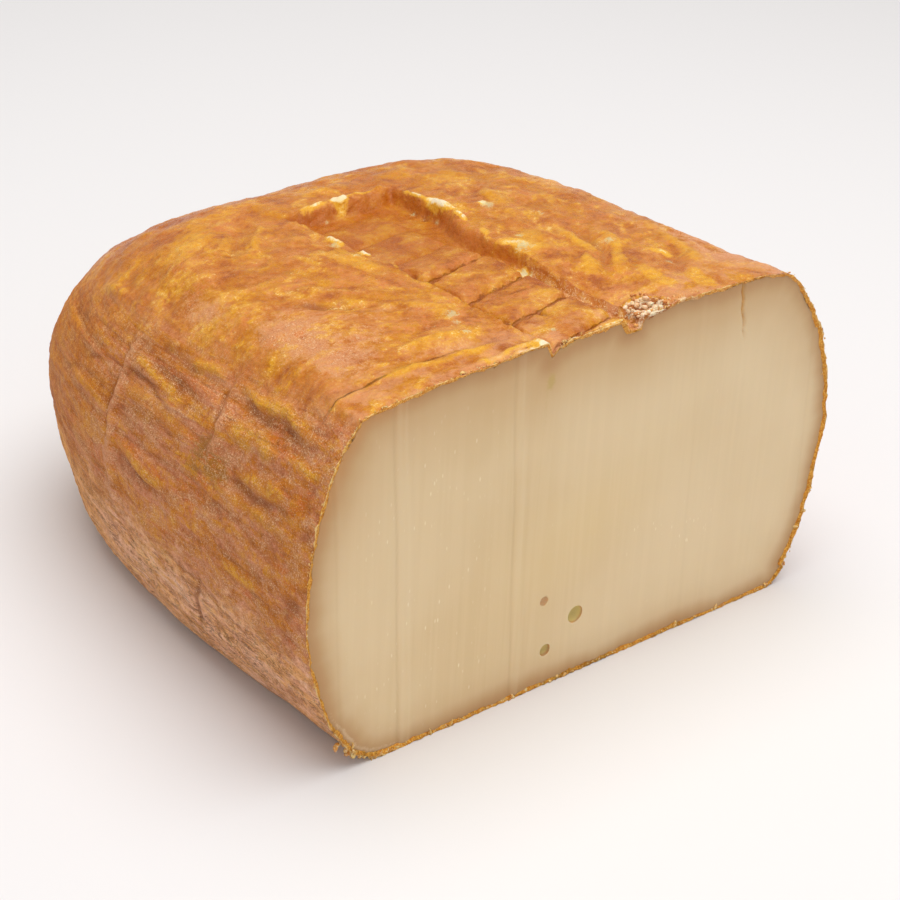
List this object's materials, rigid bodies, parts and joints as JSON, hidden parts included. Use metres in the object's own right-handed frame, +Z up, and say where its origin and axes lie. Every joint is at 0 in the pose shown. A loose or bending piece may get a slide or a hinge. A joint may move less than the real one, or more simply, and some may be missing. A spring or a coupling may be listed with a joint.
{
  "type": "toma half wheel",
  "caption": "Cut half of a pressed, rounded-square cheese: smooth pale cut face, folded orange-brown rind, sunken stamped field on top.",
  "frame": {"origin": "middle of the underside of the cheese's box, on the table", "axes": "+Z up; the flat cut face looks along -Y; +X to the right when looking at the cut face"},
  "size_m": [0.1788, 0.1788, 0.1036],
  "materials": {
    "rind": "waxy washed rind, orange-brown with ochre and pinkish patches, a little greasy on the ridges",
    "paste": "smooth, matt, pale ivory paste of the cut face with faint knife lines"
  },
  "bodies": {
    "root": {"toma_half": "rind"}
  },
  "joints": []
}
